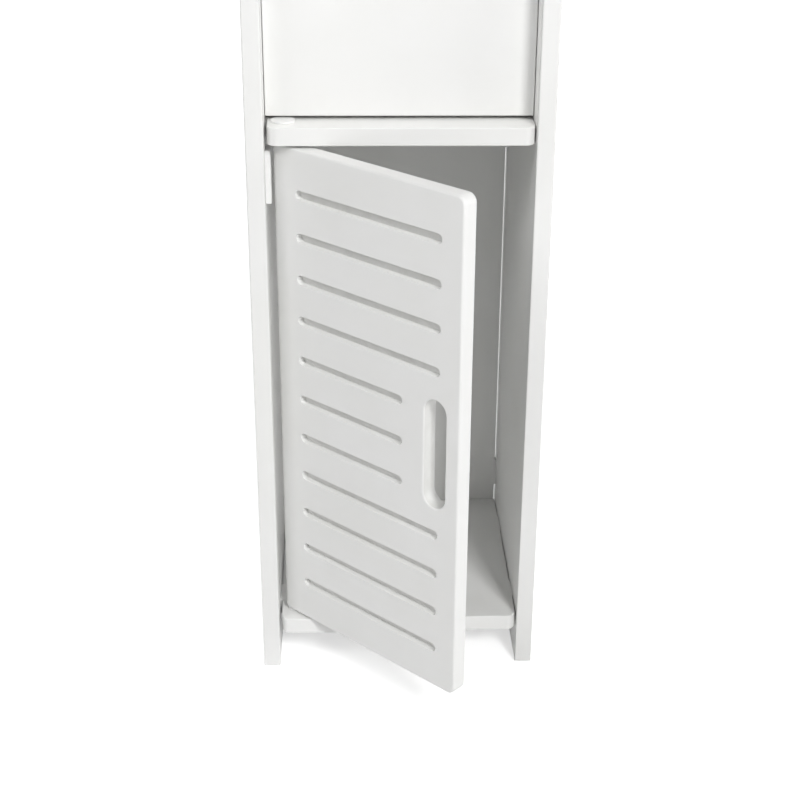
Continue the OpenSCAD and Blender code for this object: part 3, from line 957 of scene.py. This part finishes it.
@dataclass
class Carcass(SubAssembly):
    """The side panels, level boards, back panel, pivots and catch, which stand still."""

    body: str = "carcass"
    edge: float = 1.5
    side_corner: float = 0.8
    foot_edge: float = 0.5
    foot_height: float = 1.0
    shelf_edge: float = 0.6
    hidden_edge: float = 0.4
    corner: float = 7.0
    corner_fade: float = 6.0
    tab_width: float = 22.5
    tab_front: float = 38.5
    tab_spread: float = 101.0
    shoulder_left: float = 1.8
    shoulder_right: float = 0.6
    mortise: float = 5.0
    back_gap: float = 1.2
    back_tab: float = 23.0
    back_tab_end: float = 37.5
    back_headroom: float = 3.5
    peg_radius: float = 2.0
    peg_length: float = 5.0
    peg_end: float = 10.0
    pad_corner: float = 1.0
    fit: float = 0.15
    play: float = 0.05
    cap_radius: float = 3.9
    cap_height: float = 1.0
    counterbore: float = 2.6
    pin_radius: float = 3.0
    pin_tip: float = 0.6
    pin_head: float = 8.0
    pin_head_height: float = 1.2
    washer_edge: float = 0.3
    levels: Sequence[str] = ("bottom_board", "middle_shelf", "upper_shelf", "top_board")
    bored: Sequence[str] = ("bottom_board", "middle_shelf")

    def tab_centres(self) -> tuple[float, float]:
        """The tabs' places along the depth."""
        front = corners("bottom_board")[0].y + self.tab_front
        return front, front + self.tab_spread

    def back_tab_centres(self) -> tuple[float, float, float]:
        """The back tabs' heights."""
        low, high = corners("back_panel")
        return low.z + self.back_tab_end, (low.z + high.z) / 2, high.z - self.back_tab_end

    def peg_spots(self) -> list[Point]:
        """The hinge pad's two pegs, as depth and height."""
        low, high = corners("hinge_pad")
        return [((low.y + high.y) / 2, z) for z in (low.z + self.peg_end, high.z - self.peg_end)]

    def cap_spots(self) -> list[Point]:
        """The caps of either side panel, as depth and height."""
        boxes = [corners(name) for name in self.levels]
        return [(y, (low.z + high.z) / 2) for low, high in boxes for y in self.tab_centres()]

    def mortises(self) -> list[Cut]:
        """Lays out the holes that take the tabs of the level boards and of the back panel."""
        fit, wide, tall = self.fit, self.tab_width / 2 + self.fit, self.back_tab / 2
        holes = []
        for low, high in map(corners, self.levels):
            holes += [boxed(y - wide, low.z - fit, y + wide, high.z + fit) for y in self.tab_centres()]
        low, high = corners("back_panel")
        for z in self.back_tab_centres():
            holes.append(boxed(low.y - fit, z - tall - fit, high.y + fit, z + tall + self.back_headroom))
        return [Cut(hole, self.mortise, Face.REAR, 0.25, 0.2) for hole in holes]

    def side_panel(self, node: str) -> Piece:
        """Builds a side panel. The hinge pad's pegs stand in the left one.

        Args:
            node: The CAD node's name.

        Returns:
            The panel.
        """
        low, high = corners(node)
        rim = []
        for y, z in rounded_box(low.y, low.z, high.y, high.z, self.side_corner, 3):
            edge = self.foot_edge if z < self.foot_height else self.edge
            rim.append(RimPoint(y, z, edge, edge))
        bores = [disc(spot, self.cap_radius) for spot in self.cap_spots()]
        cuts = self.mortises() + [Cut(bore, self.counterbore, Face.FRONT, 0.2, 0.15) for bore in bores]
        if low.x < 0:
            pegs = [disc(spot, self.peg_radius + self.play) for spot in self.peg_spots()]
            cuts += [Cut(peg, self.peg_length + 2 * self.play, Face.REAR, 0.2, 0.2) for peg in pegs]
        return flank(node.replace("panel", "board"), node, rim, cuts)

    def level_rim(self, node: str) -> list[RimPoint]:
        """Outlines a level board with its round front corners and its tabs.

        Args:
            node: The CAD node's name.

        Returns:
            The outline, counter-clockwise.
        """
        low, high = corners(node)
        ends = []
        for shoulder in (self.shoulder_right, self.shoulder_left):
            end, radius = high.x - self.mortise - shoulder, self.corner
            corner = arc((end - radius, low.y + radius), radius, -90, 0, 10)
            tabs = [point for y in self.tab_centres() for point in tab(end, high.x, y, self.tab_width)]
            hidden = [(end, low.y + radius + self.corner_fade), *tabs, (end, high.y)]
            ends.append(even_rim(corner, self.shelf_edge) + even_rim(hidden, self.hidden_edge))
        right, left = ends
        return right + [RimPoint(-p.x, p.y, p.front, p.rear) for p in reversed(left)]

    def level_board(self, node: str) -> Piece:
        """Builds a level board, with the pivot pin's bore if it has one.

        Args:
            node: The CAD node's name.

        Returns:
            The board.
        """
        pin = disc(on_pivot(0.0).xy, self.pin_radius)
        cuts = [Cut(pin, lip=0.2)] if node in self.bored else []
        name = node.replace("board", "panel").replace("shelf", "shelf_panel")
        return lying(name, node, self.level_rim(node), cuts)

    def back_panel(self) -> Piece:
        """Builds the back panel with its tabs."""
        low, high = corners("back_panel")
        end = high.x - self.mortise - self.back_gap
        tabs = [point for z in self.back_tab_centres() for point in tab(end, high.x, z, self.back_tab)]
        right = [(end, low.z), *tabs, (end, high.z)]
        outline = right + [(-x, z) for x, z in reversed(right)]
        return standing("back_board", "back_panel", even_rim(outline, self.hidden_edge))

    def pad(self) -> Piece:
        """Builds the pad in the hinge gap, with the pegs that hold it on the side panel."""
        low, high = corners("hinge_pad")
        deep, thick, radius = self.peg_length, self.peg_radius, self.pad_corner
        outline = [(low.x + deep, high.y), (low.x + deep, low.y)]
        outline += arc((high.x - radius, low.y + radius), radius, -90, 0, 6)
        outline += arc((high.x - radius, high.y - radius), radius, 0, 90, 6)
        body = lying("body", "hinge_pad", even_rim(outline, 0.3))
        profile = [(0.0, 0.0), (thick - 0.4, 0.0), (thick, 0.4), (thick, deep), (0.0, deep)]
        pegs = [turned("peg", profile, Vector((low.x, y, z)), RIGHT, 32) for y, z in self.peg_spots()]
        return joined("rebate_pad", [body, *pegs])

    def cap_seats(self) -> list[Seat]:
        """The flush caps' seats in the side panels' counterbores."""
        outer = corners("side_panel_right")[1].x - self.cap_height
        spots = [(side, y, z) for side in (-1, 1) for y, z in self.cap_spots()]
        return [(Vector((side * outer, y, z)), Vector((side, 0, 0))) for side, y, z in spots]

    def pivot_pin(self, node: str) -> Piece:
        """Builds a pivot pin with its flat, eased head, which is the upper pin's top and the lower one's foot.

        Args:
            node: The CAD node's name.

        Returns:
            The pin.
        """
        low, high = corners(node)
        tall, radius, head, tip = high.z - low.z, self.pin_radius, self.pin_head, self.pin_tip
        neck = tall - self.pin_head_height
        profile = [(0.0, 0.0), (radius - tip, 0.0), (radius, tip), (radius, neck), (head - 0.2, neck)]
        profile += [(head, neck + 0.2), *arc((head - 0.5, tall - 0.5), 0.5, 0, 90, 4), (0.0, tall)]
        foot, way = (low.z, UP) if node == "pivot_pin_upper" else (high.z, DOWN)
        return turned(node.replace("pin", "peg"), profile, on_pivot(foot), way, 64)

    def washer(self) -> Piece:
        """Builds the washer under the door."""
        low, high = corners("pivot_washer")
        outer, inner, ease, top = (high.x - low.x) / 2, self.pin_radius + self.play, self.washer_edge, high.z - low.z
        profile = [(inner, 0.0), (outer - ease, 0.0), (outer, ease)]
        profile += [(outer, top - ease), (outer - ease, top), (inner, top)]
        return turned("nylon_washer", profile, on_pivot(low.z), UP)

    def catch(self) -> Piece:
        """Builds the catch's body, with a pocket for its magnet and recesses for its screws, open downwards."""
        low, high = corners("catch_body")
        inner, outer = corners("catch_magnet")
        pocket = Cut(boxed(inner.x, inner.z, outer.x, outer.z), outer.y - inner.y, Face.FRONT, 0.15, 0.1)
        rim = even_rim(rounded_box(low.x, low.z, high.x, high.z, 0.9, 3), 0.5)
        body = standing("catch_housing", "catch_body", rim, [pocket])
        pit = [(0.0, -3.0), (PIT_RADIUS, -3.0), (PIT_RADIUS, 0.0), (SCREW_BORE, 0.0), (SCREW_BORE, 20.0), (0.0, 20.0)]
        return drilled(body, [turned("pit", pit, spot, UP, 32) for spot, _ in self.catch_seats()])

    def catch_seats(self) -> list[Seat]:
        """The seats of the catch's two screws, on the floors of their recesses."""
        low, high = corners("catch_screws")
        y, z = (low.y + high.y) / 2, low.z + HEAD_HEIGHT
        return [(Vector((x, y, z)), DOWN) for x in (low.x + HEAD_RADIUS, high.x - HEAD_RADIUS)]

    def build(self) -> None:
        """Builds and dresses every piece of the carcass."""
        for node in ("side_panel_left", "side_panel_right"):
            self.seat(self.side_panel(node), PAINTED, node)
        for node in self.levels:
            self.seat(self.level_board(node), PAINTED, node)
        self.seat(self.back_panel(), PAINTED, "back_panel")
        radius, tall = self.cap_radius - self.play, self.cap_height
        caps = Fasteners("screw_cap_set", 0.4, 3, radius, tall, dome=0.25, shank_radius=1.2, crossed=False)
        self.fasten(caps, self.cap_seats(), Finish.PLASTIC, "screw_caps")
        for node in ("pivot_pin_upper", "pivot_pin_lower"):
            self.seat(self.pivot_pin(node), [Finish.PLASTIC], node)
        for node, build in (("pivot_washer", self.washer), ("hinge_pad", self.pad), ("catch_body", self.catch)):
            self.seat(build(), [Finish.PLASTIC], node)
        self.fasten(Fasteners("catch_screw_pair", 13.1, 5), self.catch_seats(), Finish.ZINC, "catch_screws")
        self.keep("catch_magnet", Finish.FERRITE)
        self.keep("assembly_screws", Finish.ZINC)


@dataclass
class Door(SubAssembly):
    """The routed door and its strike plate, built open as it rests."""

    body: str = "door"
    width: float = 168.5
    height: float = 355.0
    thickness: float = 12.0
    open_degrees: float = 45.0
    pivot_edge: float = 7.0
    corner: float = 6.0
    edge: float = 1.5
    groove_count: int = 11
    groove_pitch: float = 29.4
    groove_width: float = 6.5
    groove_depth: float = 4.5
    groove_start: float = 23.5
    groove_end: float = 151.3
    short_end: float = 119.2
    handle_x: float = 147.7
    handle_width: float = 19.0
    handle_height: float = 78.0
    pin_bore: float = 3.05
    strike_x: float = 142.0
    strike_low: float = 335.5
    strike_width: float = 25.0
    strike_height: float = 18.0
    strike_thickness: float = 0.8
    screw_out: float = 8.2
    screw_up: float = 4.3

    def foot(self) -> Vector:
        """The pivot axis at the door's lower edge."""
        return on_pivot(corners("door_panel")[0].z)

    def place(self, depth: float = 0.0) -> Place:
        """Finds where the open door stands.

        Args:
            depth: How far behind the door's front face the place lies.

        Returns:
            The place, whose zero is at the hinge edge's lower corner.
        """
        angle = math.radians(self.open_degrees)
        along = Vector((math.cos(angle), -math.sin(angle), 0))
        inwards = Vector((math.sin(angle), math.cos(angle), 0))
        zero = self.foot() - along * self.pivot_edge - inwards * (self.thickness / 2 - depth)
        return Place(zero, along, UP, inwards)

    def rim(self) -> list[RimPoint]:
        """Outlines the door: a round hinge edge, and eased edges on its other sides."""
        radius, edge, hinge, steps = self.corner, self.edge, self.thickness / 2, 8
        right, top = self.width - radius, self.height - radius
        table = [(right, radius, -90, edge, edge), (right, top, 0, edge, edge)]
        table += [(radius, top, 90, edge, hinge), (radius, radius, 180, hinge, edge)]
        points = []
        for x, y, start, first, last in table:
            for i, spot in enumerate(arc((x, y), radius, start, start + 90, steps)):
                points += even_rim([spot], first + (last - first) * i / steps)
        return points

    def grooves(self) -> list[Cut]:
        """Lays out the routed grooves, level slots with round ends that are shorter beside the handle."""
        cuts, radius = [], self.groove_width / 2
        for i in range(self.groove_count):
            rise = (i - (self.groove_count - 1) / 2) * self.groove_pitch
            beside = abs(rise) < self.handle_height / 2 + self.groove_width
            end, y = self.short_end if beside else self.groove_end, self.height / 2 + rise
            outline = arc((end - radius, y), radius, -90, 90, 12)
            outline += arc((self.groove_start + radius, y), radius, 90, 270, 12)
            cuts.append(Cut(outline, self.groove_depth, Face.FRONT, 0.3, 0.3))
        return cuts

    def handle(self) -> Cut:
        """Lays out the handle, an upright slot through the door."""
        radius, middle = self.handle_width / 2, self.height / 2
        reach = self.handle_height / 2 - radius
        outline = arc((self.handle_x, middle + reach), radius, 0, 180, 20)
        outline += arc((self.handle_x, middle - reach), radius, 180, 360, 20)
        return Cut(outline, lip=1.0)

    def screw_points(self) -> list[Point]:
        """The strike plate's two screws on the door's own plane."""
        return [(self.strike_x + side * self.screw_out, self.strike_low + self.screw_up) for side in (-1, 1)]

    def screw_spots(self, depth: float) -> list[Vector]:
        """The strike plate's screws at a depth behind the door's front face, in millimetres."""
        return [self.place().at(x, y, depth) / MM for x, y in self.screw_points()]

    def panel(self) -> Piece:
        """Builds the door panel with its grooves, its handle and its bores."""
        door = Board("door_leaf", self.place(), self.thickness, self.rim(), [*self.grooves(), self.handle()]).build()
        bore = [(0.0, -5.0), (self.pin_bore, -5.0), (self.pin_bore, 15.5), (0.0, 16.5)]
        top = self.foot() + UP * self.height
        cutters = [turned("lower bore", bore, self.foot(), UP, 32), turned("upper bore", bore, top, DOWN, 32)]
        hole, way = [(0.0, -3.0), (SCREW_BORE, -3.0), (SCREW_BORE, 7.2), (0.0, 8.0)], -self.place().inwards
        cutters += [turned("screw bore", hole, spot, way, 24) for spot in self.screw_spots(self.thickness)]
        return drilled(door, cutters)

    def strike(self) -> Piece:
        """Builds the strike plate on the door's rear face."""
        half, low = self.strike_width / 2, self.strike_low
        outline = rounded_box(self.strike_x - half, low, self.strike_x + half, low + self.strike_height, 1.6, 5)
        holes = [Cut(disc(point, SCREW_BORE), lip=0.1) for point in self.screw_points()]
        place, thick = self.place(self.thickness), self.strike_thickness
        return Board("strike", place, thick, even_rim(outline, 0.2), holes).build()

    def build(self) -> None:
        """Builds and dresses every piece of the door."""
        self.seat(self.panel(), PAINTED, "door_panel")
        self.seat(self.strike(), [Finish.ZINC, Finish.ZINC], "strike_plate")
        away = self.place().inwards
        seats = [(spot, away) for spot in self.screw_spots(self.thickness + self.strike_thickness)]
        self.fasten(Fasteners("strike_screw_pair", 7.8, 11), seats, Finish.ZINC, "strike_screws")


@dataclass
class Drawer(SubAssembly):
    """The drawer above the door: its front, its box and the strips that it slides on."""

    body: str = "drawer"
    front_edge: float = 0.8
    wall: float = 8.0
    notch_width: float = 60.0
    notch_depth: float = 16.0
    notch_rise: float = 3.0
    glide_width: float = 12.0

    def front(self) -> Piece:
        """Builds the drawer front, with eased upright edges and a finger notch in its top."""
        low, high = corners("drawer_front")
        radius, half, depth, top = self.front_edge, self.notch_width / 2, self.notch_depth, high.z
        outline = arc((low.x + radius, low.y + radius), radius, 180, 270, 5)
        outline += arc((high.x - radius, low.y + radius), radius, -90, 0, 5)
        outline += [(high.x, high.y), (low.x, high.y)]
        panel = lying("drawer_face", "drawer_front", even_rim(outline, 0.5))
        notch = arc((-half + depth, top), depth, 180, 270, 12) + arc((half - depth, top), depth, -90, 0, 12)
        notch += [(half + 0.01, top + self.notch_rise), (-half - 0.01, top + self.notch_rise)]
        face = Board("notch", upright(low.y), high.y - low.y, [])
        return drilled(panel, [face.plug(Cut(notch, lip=0.7))])

    def pits(self, spots: Iterable[Point], face: Face) -> list[Cut]:
        """Lays out the round recesses that sink screw heads flush."""
        return [Cut(disc(spot, PIT_RADIUS), HEAD_HEIGHT, face, 0.15, 0.1) for spot in spots]

    def side(self, node: str) -> Piece:
        """Builds one side of the drawer's box, with the recesses of its screws.

        Args:
            node: The CAD node's name.

        Returns:
            The side.
        """
        low, high = corners(node)
        rim = even_rim(rounded_box(low.y, low.z, high.y, high.z, 0.5, 2), 0.6)
        return flank(node.replace("side", "cheek"), node, rim, self.pits(self.back_spots(), Face.FRONT))

    def back_spots(self) -> list[Point]:
        """The screws through the sides into the back, as depth and height."""
        low, high = corners("drawer_back")
        return [((low.y + high.y) / 2, low.z + (high.z - low.z) * share) for share in (1 / 4, 3 / 4)]

    def bottom_spots(self) -> list[Point]:
        """The screws through the bottom into the sides, seen from above."""
        low, high = corners("drawer_bottom")
        x, deep = high.x - self.wall / 2, high.y - low.y
        return [(side * x, low.y + deep * share) for side in (-1, 1) for share in (1 / 6, 1 / 2, 5 / 6)]

    def back(self) -> Piece:
        """Builds the drawer's back."""
        low, high = corners("drawer_back")
        return standing("drawer_tail", "drawer_back", even_rim(boxed(low.x, low.z, high.x, high.z), 0.5))

    def bottom(self) -> Piece:
        """Builds the drawer's bottom, with the recesses of its screws on its underside."""
        low, high = corners("drawer_bottom")
        rim = even_rim(boxed(low.x, low.y, high.x, high.y), 0.3)
        return lying("drawer_floor", "drawer_bottom", rim, self.pits(self.bottom_spots(), Face.REAR))

    def glides(self) -> Piece:
        """Builds the two glide strips as one piece."""
        low, high = corners("drawer_glides")
        strips = []
        for x in (low.x, high.x - self.glide_width):
            outline = rounded_box(x, low.y, x + self.glide_width, high.y, 3.0, 5)
            strips.append(lying("strip", "drawer_glides", even_rim(outline, 0.05, 0.7)))
        return joined("glide_pair", strips)

    def screw_seats(self) -> list[Seat]:
        """The seats of the screws of the back, then of the bottom."""
        low, high = corners("drawer_bottom")
        across = [(side, y, z) for side in (-1, 1) for y, z in self.back_spots()]
        seats = [(Vector((side * (high.x - HEAD_HEIGHT), y, z)), Vector((side, 0, 0))) for side, y, z in across]
        return seats + [(Vector((x, y, low.z + HEAD_HEIGHT)), DOWN) for x, y in self.bottom_spots()]

    def build(self) -> None:
        """Builds and dresses every piece of the drawer."""
        self.seat(self.front(), PAINTED, "drawer_front")
        for node in ("drawer_side_left", "drawer_side_right"):
            self.seat(self.side(node), PAINTED, node)
        self.seat(self.back(), PAINTED, "drawer_back")
        self.seat(self.bottom(), PAINTED, "drawer_bottom")
        self.seat(self.glides(), [Finish.GLIDE], "drawer_glides")
        self.fasten(Fasteners("drawer_screw_set", 16.3, 23), self.screw_seats(), Finish.ZINC, "drawer_screws")
        self.keep("drawer_dowels", Finish.BEECH)


# ---- studio


@dataclass(frozen=True)
class Softbox:
    """A soft square lamp on a circle round the cabinet: azimuth 0 is straight in front, 90 is at its right."""

    name: str
    azimuth: float
    height: float
    distance: float
    size: float
    power: float
    mirrored: bool = True


# The key throws the door's shadow on the bottom board. The two behind only light the rear faces: no mirror
# image of them burns out a level board that is seen from the front.
LAMPS = (
    Softbox("key", 20.0, 36.0, 4.0, 0.85, 90.5),
    Softbox("left_fill", -50.0, 42.0, 3.0, 1.3, 24.5),
    Softbox("right_fill", 76.0, 15.0, 3.6, 1.8, 37.0),
    Softbox("left_rear", -130.0, 25.0, 3.6, 1.8, 38.0, False),
    Softbox("right_rear", 150.0, 25.0, 3.6, 1.8, 34.0, False),
)


@dataclass
class Studio:
    """The floor, the lamps, the backdrop's light and the camera."""

    lens_mm: float = 70.43
    sensor_mm: float = 36.0
    tilt: float = 25.144
    yaw: float = -3.3495
    roll: float = 0.826
    eye: Point = (-36.3, -980.4)
    eye_height: float = 679.6
    shift: float = -0.0375
    sky: float = 0.05
    aim_height: float = 0.25
    floor_half: float = 12.0

    def floor(self) -> None:
        """Lays the paper that the cabinet stands on."""
        mesh = bpy.data.meshes.new("studio_floor")
        edge = self.floor_half
        mesh.from_pydata([(x, y, 0) for x, y in boxed(-edge, -edge, edge, edge)], [], [(0, 1, 2, 3)])
        mesh.materials.append(StudioPaper().material())
        paper = linked("studio_floor", mesh)

    def world(self) -> None:
        """Makes the sky: white to the camera and to reflections, and a soft light on the object."""
        world = bpy.data.worlds.new("studio")
        bpy.context.scene.world = world
        tree = emptied(world)
        lit, seen = (
            add_node(tree, "ShaderNodeBackground", inputs={"Color": (1, 1, 1, 1), "Strength": strength}).outputs[0]
            for strength in (self.sky, 1.0)
        )
        mix = add_node(tree, "ShaderNodeMixShader", inputs={0: direct_view(tree), 1: lit, 2: seen})
        add_node(tree, "ShaderNodeOutputWorld", inputs={"Surface": mix.outputs[0]})

    def hang(self, lamp: Softbox) -> None:
        """Hangs one soft square lamp, facing the cabinet's lower half.

        Args:
            lamp: Where it hangs, its size and its power.
        """
        light = bpy.data.lights.new(lamp.name, "AREA")
        light.size, light.energy = lamp.size, lamp.power
        hung = linked(lamp.name, light)
        hung.visible_glossy = lamp.mirrored
        turn, rise = math.radians(lamp.azimuth), math.radians(lamp.height)
        way = Vector((math.sin(turn) * math.cos(rise), -math.cos(turn) * math.cos(rise), math.sin(rise)))
        place = Matrix.Translation(UP * self.aim_height + way * lamp.distance)
        hung.matrix_world = place @ way.to_track_quat("Z", "Y").to_matrix().to_4x4()

    def camera(self) -> None:
        """Stands the camera where the photograph was taken from, measured from the side panels' front."""
        data = bpy.data.cameras.new("camera")
        data.lens, data.sensor_width, data.sensor_fit = self.lens_mm, self.sensor_mm, "HORIZONTAL"
        data.clip_start, data.clip_end = 0.01, 100.0
        data.shift_x = self.shift
        camera = linked("camera", data)
        front_y = corners("side_panel_left")[0].y
        camera.matrix_world = Matrix.Translation(Vector((self.eye[0], self.eye[1] + front_y, self.eye_height)) * MM)
        for angle, axis in ((self.yaw, "Z"), (90.0 - self.tilt, "X"), (self.roll, "Z")):
            camera.matrix_world = camera.matrix_world @ Matrix.Rotation(math.radians(angle), 4, axis)
        bpy.context.scene.camera = camera

    def build(self) -> None:
        """Sets up the studio round the object."""
        self.floor()
        self.world()
        for lamp in LAMPS:
            self.hang(lamp)
        self.camera()
        bpy.context.scene.view_settings.view_transform = "Standard"


def main() -> None:
    """Builds the cabinet's sub-assemblies and the studio in order."""
    logging.basicConfig(level=logging.INFO, format="%(name)s %(message)s")
    for assembly in (Carcass, Door, Drawer, Studio):
        assembly().build()


if __name__ == "__main__":
    main()
